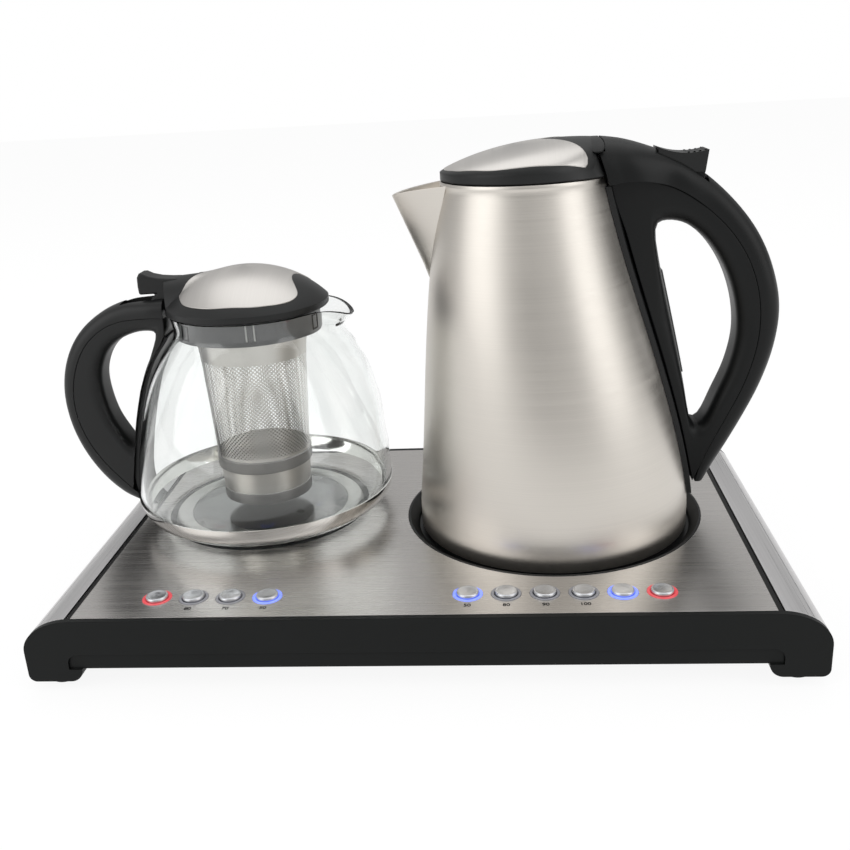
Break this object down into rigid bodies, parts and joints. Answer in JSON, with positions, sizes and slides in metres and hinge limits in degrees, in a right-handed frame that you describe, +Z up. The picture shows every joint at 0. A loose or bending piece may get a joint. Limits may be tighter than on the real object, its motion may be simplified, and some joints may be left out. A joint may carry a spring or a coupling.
{
  "type": "automatic tea maker",
  "caption": "Heated base with push buttons, a steel kettle with a hinged lid and a glass teapot with an infuser.",
  "frame": {"origin": "on the table, under the middle of the whole outline", "axes": "+Z up, +X from the teapot to the kettle, -Y towards the person at the buttons"},
  "size_m": [0.4103, 0.2284, 0.249],
  "materials": {
    "black_plastic": "fine satin, soft-touch black",
    "cover_plastic": "plain moulded black",
    "brushed_steel": "brushed left to right",
    "kettle_steel": "brushed round the body",
    "polished_steel": "polished",
    "spun_steel": "turned in circles",
    "plain_steel": "plain rolled steel",
    "dark_disc": "dark non-stick coating",
    "rubber": "matt",
    "ring_red": "lit red",
    "ring_blue": "lit blue",
    "ring_clear": "unlit, pearly clear",
    "board_green": "lacquered board",
    "switch_black": "plain",
    "clear_glass": "clear, thin, polished",
    "smoke_plastic": "grey, half clear",
    "window_plastic": "frosted",
    "seal_rubber": "silicone",
    "mesh_steel": "finely perforated"
  },
  "bodies": {
    "base": {"front_frame": "black_plastic", "rear_frame": "black_plastic", "bottom_cover": "cover_plastic", "top_deck": "cover_plastic", "top_plate": "brushed_steel", "side_strips": "brushed_steel", "side_rails": "brushed_steel", "rubber_feet": "rubber", "base_screws": "plain_steel", "cable_inlet": "black_plastic", "recess_ring": "black_plastic", "socket_body": "cover_plastic", "warming_bezel": "black_plastic", "warming_ring": "plain_steel", "warming_disc": "dark_disc", "warming_heater": "plain_steel", "light_rings_red": "ring_red", "light_rings_blue": "ring_blue", "light_rings_clear": "ring_clear", "tact_switches": "switch_black", "control_board": "board_green", "power_board": "board_green"},
    "kettle": {"kettle_body": "kettle_steel", "kettle_spout": "kettle_steel", "kettle_spout_filter": "plain_steel", "kettle_seat_ring": "cover_plastic", "kettle_base": "cover_plastic", "kettle_heater_plate": "plain_steel", "kettle_connector": "cover_plastic", "kettle_spine": "black_plastic", "kettle_handle_inner": "black_plastic", "kettle_handle_outer": "black_plastic", "kettle_window": "window_plastic", "kettle_hinge_pin": "plain_steel"},
    "kettle_lid": {"kettle_lid_cap": "black_plastic", "kettle_lid_inlay": "brushed_steel", "kettle_lid_liner": "cover_plastic", "kettle_lid_seal": "seal_rubber"},
    "kettle_release": {"kettle_lid_button": "black_plastic"},
    "teapot": {"teapot_glass": "clear_glass", "teapot_band": "polished_steel", "teapot_strap": "black_plastic", "teapot_handle_outer": "black_plastic", "teapot_handle_inner": "black_plastic", "teapot_hinge_pin": "plain_steel", "infuser_collar": "smoke_plastic", "infuser_basket": "mesh_steel"},
    "teapot_lid": {"teapot_lid_shell": "black_plastic", "teapot_lid_inlay": "brushed_steel", "teapot_lid_liner": "cover_plastic"},
    "button_left_1": {"button_left_1": "spun_steel"},
    "button_left_2": {"button_left_2": "spun_steel"},
    "button_left_3": {"button_left_3": "spun_steel"},
    "button_left_4": {"button_left_4": "spun_steel"},
    "button_right_1": {"button_right_1": "spun_steel"},
    "button_right_2": {"button_right_2": "spun_steel"},
    "button_right_3": {"button_right_3": "spun_steel"},
    "button_right_4": {"button_right_4": "spun_steel"},
    "button_right_5": {"button_right_5": "spun_steel"},
    "button_right_6": {"button_right_6": "spun_steel"}
  },
  "joints": [
    {"name": "kettle_lift", "type": "slide", "parent": "base", "child": "kettle", "axis": [0, 0, 1], "range_m": [0, 0.15]},
    {"name": "kettle_lid_hinge", "type": "hinge", "parent": "kettle", "child": "kettle_lid", "pos_m": [0.1045, 0.00955, 0.2452], "axis": [0, 1, 0], "range_deg": [0, 80]},
    {"name": "kettle_lid_release", "type": "slide", "parent": "kettle", "child": "kettle_release", "axis": [0, 0, -1], "range_m": [0, 0.0025], "stiffness_N_per_m": 400, "springref_m": -0.001},
    {"name": "teapot_lift", "type": "slide", "parent": "base", "child": "teapot", "axis": [0, 0, 1], "range_m": [0, 0.15]},
    {"name": "teapot_lid_hinge", "type": "hinge", "parent": "teapot", "child": "teapot_lid", "pos_m": [-0.1413, 0.02065, 0.1667], "axis": [0, -1, 0], "range_deg": [0, 60]},
    {"name": "button_left_1_press", "type": "slide", "parent": "base", "child": "button_left_1", "axis": [0, 0, -1], "range_m": [0, 0.0012], "stiffness_N_per_m": 500, "springref_m": -0.001},
    {"name": "button_left_2_press", "type": "slide", "parent": "base", "child": "button_left_2", "axis": [0, 0, -1], "range_m": [0, 0.0012], "stiffness_N_per_m": 500, "springref_m": -0.001},
    {"name": "button_left_3_press", "type": "slide", "parent": "base", "child": "button_left_3", "axis": [0, 0, -1], "range_m": [0, 0.0012], "stiffness_N_per_m": 500, "springref_m": -0.001},
    {"name": "button_left_4_press", "type": "slide", "parent": "base", "child": "button_left_4", "axis": [0, 0, -1], "range_m": [0, 0.0012], "stiffness_N_per_m": 500, "springref_m": -0.001},
    {"name": "button_right_1_press", "type": "slide", "parent": "base", "child": "button_right_1", "axis": [0, 0, -1], "range_m": [0, 0.0012], "stiffness_N_per_m": 500, "springref_m": -0.001},
    {"name": "button_right_2_press", "type": "slide", "parent": "base", "child": "button_right_2", "axis": [0, 0, -1], "range_m": [0, 0.0012], "stiffness_N_per_m": 500, "springref_m": -0.001},
    {"name": "button_right_3_press", "type": "slide", "parent": "base", "child": "button_right_3", "axis": [0, 0, -1], "range_m": [0, 0.0012], "stiffness_N_per_m": 500, "springref_m": -0.001},
    {"name": "button_right_4_press", "type": "slide", "parent": "base", "child": "button_right_4", "axis": [0, 0, -1], "range_m": [0, 0.0012], "stiffness_N_per_m": 500, "springref_m": -0.001},
    {"name": "button_right_5_press", "type": "slide", "parent": "base", "child": "button_right_5", "axis": [0, 0, -1], "range_m": [0, 0.0012], "stiffness_N_per_m": 500, "springref_m": -0.001},
    {"name": "button_right_6_press", "type": "slide", "parent": "base", "child": "button_right_6", "axis": [0, 0, -1], "range_m": [0, 0.0012], "stiffness_N_per_m": 500, "springref_m": -0.001}
  ]
}
